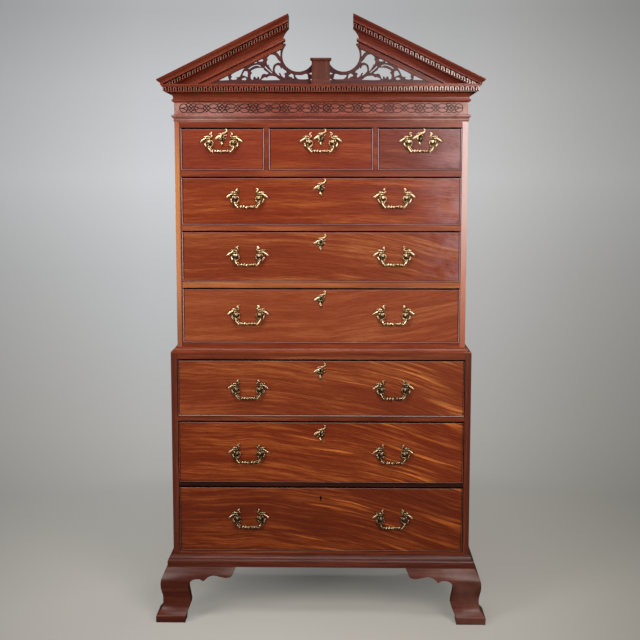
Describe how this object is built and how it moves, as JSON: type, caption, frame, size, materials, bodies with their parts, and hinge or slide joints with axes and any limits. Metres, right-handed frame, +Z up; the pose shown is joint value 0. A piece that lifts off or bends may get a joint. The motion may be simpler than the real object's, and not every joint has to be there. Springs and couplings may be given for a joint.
{
  "type": "tallboy",
  "caption": "Tall chest on chest in mahogany, with sliding drawers, hinged brass bail handles, a pierced broken pediment and ogee bracket feet.",
  "frame": {"origin": "on the floor, midway between the two sides and midway between the front toes and the back", "axes": "+Z up, -Y towards the person who opens the drawers, +X to that person's right"},
  "size_m": [1.201, 0.6194, 2.178],
  "materials": {
    "mahogany_case": "polished red-brown mahogany, satin",
    "mahogany_fronts": "figured mahogany, polished to a satin sheen",
    "mahogany_mouldings": "dark purple-brown mahogany, polished",
    "oak": "plain oak, unpolished",
    "brass": "old gilt brass, worn on the edges"
  },
  "bodies": {
    "case": {"upper_side_left": "mahogany_case", "upper_side_right": "mahogany_case", "lower_side_left": "mahogany_case", "lower_side_right": "mahogany_case", "upper_top_board": "mahogany_case", "upper_bottom_board": "mahogany_case", "lower_top_board": "mahogany_case", "lower_bottom_board": "mahogany_case", "upper_rail_1": "mahogany_case", "upper_rail_2": "mahogany_case", "upper_rail_3": "mahogany_case", "lower_rail_1": "mahogany_case", "lower_rail_2": "mahogany_case", "base_moulding": "mahogany_mouldings", "waist_moulding": "mahogany_mouldings", "frieze": "mahogany_mouldings", "cornice": "mahogany_mouldings", "raking_cornice_left": "mahogany_mouldings", "raking_cornice_right": "mahogany_mouldings", "tympanum_fret": "mahogany_mouldings", "pediment_plinth": "mahogany_mouldings", "foot_front_left": "mahogany_mouldings", "foot_front_right": "mahogany_mouldings", "foot_rear_left": "mahogany_mouldings", "foot_rear_right": "mahogany_mouldings", "upper_back_panel": "oak", "lower_back_panel": "oak"},
    "drawer_long_6": {"drawer_long_6_front": "mahogany_fronts", "drawer_long_6_box": "oak"},
    "bail_long_6_left": {"bail_long_6_left": "brass"},
    "bail_long_6_right": {"bail_long_6_right": "brass"},
    "drawer_long_5": {"drawer_long_5_front": "mahogany_fronts", "drawer_long_5_box": "oak"},
    "bail_long_5_left": {"bail_long_5_left": "brass"},
    "bail_long_5_right": {"bail_long_5_right": "brass"},
    "drawer_long_4": {"drawer_long_4_front": "mahogany_fronts", "drawer_long_4_box": "oak"},
    "bail_long_4_left": {"bail_long_4_left": "brass"},
    "bail_long_4_right": {"bail_long_4_right": "brass"},
    "drawer_long_3": {"drawer_long_3_front": "mahogany_fronts", "drawer_long_3_box": "oak"},
    "bail_long_3_left": {"bail_long_3_left": "brass"},
    "bail_long_3_right": {"bail_long_3_right": "brass"},
    "drawer_long_2": {"drawer_long_2_front": "mahogany_fronts", "drawer_long_2_box": "oak"},
    "bail_long_2_left": {"bail_long_2_left": "brass"},
    "bail_long_2_right": {"bail_long_2_right": "brass"},
    "drawer_long_1": {"drawer_long_1_front": "mahogany_fronts", "drawer_long_1_box": "oak"},
    "bail_long_1_left": {"bail_long_1_left": "brass"},
    "bail_long_1_right": {"bail_long_1_right": "brass"},
    "drawer_short_left": {"drawer_short_left_front": "mahogany_fronts", "drawer_short_left_box": "oak"},
    "bail_short_left": {"bail_short_left": "brass"},
    "drawer_short_middle": {"drawer_short_middle_front": "mahogany_fronts", "drawer_short_middle_box": "oak"},
    "bail_short_middle": {"bail_short_middle": "brass"},
    "drawer_short_right": {"drawer_short_right_front": "mahogany_fronts", "drawer_short_right_box": "oak"},
    "bail_short_right": {"bail_short_right": "brass"}
  },
  "joints": [
    {"name": "drawer_long_6_slide", "type": "slide", "parent": "case", "child": "drawer_long_6", "axis": [0, -1, 0], "range_m": [0, 0.4]},
    {"name": "bail_long_6_left_hinge", "type": "hinge", "parent": "drawer_long_6", "child": "bail_long_6_left", "pos_m": [-0.262, -0.26425, 0.38154], "axis": [-1, 0, 0], "range_deg": [-15, 150]},
    {"name": "bail_long_6_right_hinge", "type": "hinge", "parent": "drawer_long_6", "child": "bail_long_6_right", "pos_m": [0.262, -0.26425, 0.38154], "axis": [-1, 0, 0], "range_deg": [-15, 150]},
    {"name": "drawer_long_5_slide", "type": "slide", "parent": "case", "child": "drawer_long_5", "axis": [0, -1, 0], "range_m": [0, 0.4]},
    {"name": "bail_long_5_left_hinge", "type": "hinge", "parent": "drawer_long_5", "child": "bail_long_5_left", "pos_m": [-0.262, -0.26425, 0.62343], "axis": [-1, 0, 0], "range_deg": [-15, 150]},
    {"name": "bail_long_5_right_hinge", "type": "hinge", "parent": "drawer_long_5", "child": "bail_long_5_right", "pos_m": [0.262, -0.26425, 0.62343], "axis": [-1, 0, 0], "range_deg": [-15, 150]},
    {"name": "drawer_long_4_slide", "type": "slide", "parent": "case", "child": "drawer_long_4", "axis": [0, -1, 0], "range_m": [0, 0.4]},
    {"name": "bail_long_4_left_hinge", "type": "hinge", "parent": "drawer_long_4", "child": "bail_long_4_left", "pos_m": [-0.262, -0.26425, 0.85955], "axis": [-1, 0, 0], "range_deg": [-15, 150]},
    {"name": "bail_long_4_right_hinge", "type": "hinge", "parent": "drawer_long_4", "child": "bail_long_4_right", "pos_m": [0.262, -0.26425, 0.85955], "axis": [-1, 0, 0], "range_deg": [-15, 150]},
    {"name": "drawer_long_3_slide", "type": "slide", "parent": "case", "child": "drawer_long_3", "axis": [0, -1, 0], "range_m": [0, 0.4]},
    {"name": "bail_long_3_left_hinge", "type": "hinge", "parent": "drawer_long_3", "child": "bail_long_3_left", "pos_m": [-0.262, -0.24225, 1.12744], "axis": [-1, 0, 0], "range_deg": [-15, 150]},
    {"name": "bail_long_3_right_hinge", "type": "hinge", "parent": "drawer_long_3", "child": "bail_long_3_right", "pos_m": [0.262, -0.24225, 1.12744], "axis": [-1, 0, 0], "range_deg": [-15, 150]},
    {"name": "drawer_long_2_slide", "type": "slide", "parent": "case", "child": "drawer_long_2", "axis": [0, -1, 0], "range_m": [0, 0.4]},
    {"name": "bail_long_2_left_hinge", "type": "hinge", "parent": "drawer_long_2", "child": "bail_long_2_left", "pos_m": [-0.262, -0.24225, 1.33941], "axis": [-1, 0, 0], "range_deg": [-15, 150]},
    {"name": "bail_long_2_right_hinge", "type": "hinge", "parent": "drawer_long_2", "child": "bail_long_2_right", "pos_m": [0.262, -0.24225, 1.33941], "axis": [-1, 0, 0], "range_deg": [-15, 150]},
    {"name": "drawer_long_1_slide", "type": "slide", "parent": "case", "child": "drawer_long_1", "axis": [0, -1, 0], "range_m": [0, 0.4]},
    {"name": "bail_long_1_left_hinge", "type": "hinge", "parent": "drawer_long_1", "child": "bail_long_1_left", "pos_m": [-0.262, -0.24225, 1.54542], "axis": [-1, 0, 0], "range_deg": [-15, 150]},
    {"name": "bail_long_1_right_hinge", "type": "hinge", "parent": "drawer_long_1", "child": "bail_long_1_right", "pos_m": [0.262, -0.24225, 1.54542], "axis": [-1, 0, 0], "range_deg": [-15, 150]},
    {"name": "drawer_short_left_slide", "type": "slide", "parent": "case", "child": "drawer_short_left", "axis": [0, -1, 0], "range_m": [0, 0.4]},
    {"name": "bail_short_left_hinge", "type": "hinge", "parent": "drawer_short_left", "child": "bail_short_left", "pos_m": [-0.35225, -0.24225, 1.74155], "axis": [-1, 0, 0], "range_deg": [-15, 150]},
    {"name": "drawer_short_middle_slide", "type": "slide", "parent": "case", "child": "drawer_short_middle", "axis": [0, -1, 0], "range_m": [0, 0.4]},
    {"name": "bail_short_middle_hinge", "type": "hinge", "parent": "drawer_short_middle", "child": "bail_short_middle", "pos_m": [0, -0.24225, 1.74155], "axis": [-1, 0, 0], "range_deg": [-15, 150]},
    {"name": "drawer_short_right_slide", "type": "slide", "parent": "case", "child": "drawer_short_right", "axis": [0, -1, 0], "range_m": [0, 0.4]},
    {"name": "bail_short_right_hinge", "type": "hinge", "parent": "drawer_short_right", "child": "bail_short_right", "pos_m": [0.35225, -0.24225, 1.74155], "axis": [-1, 0, 0], "range_deg": [-15, 150]}
  ]
}
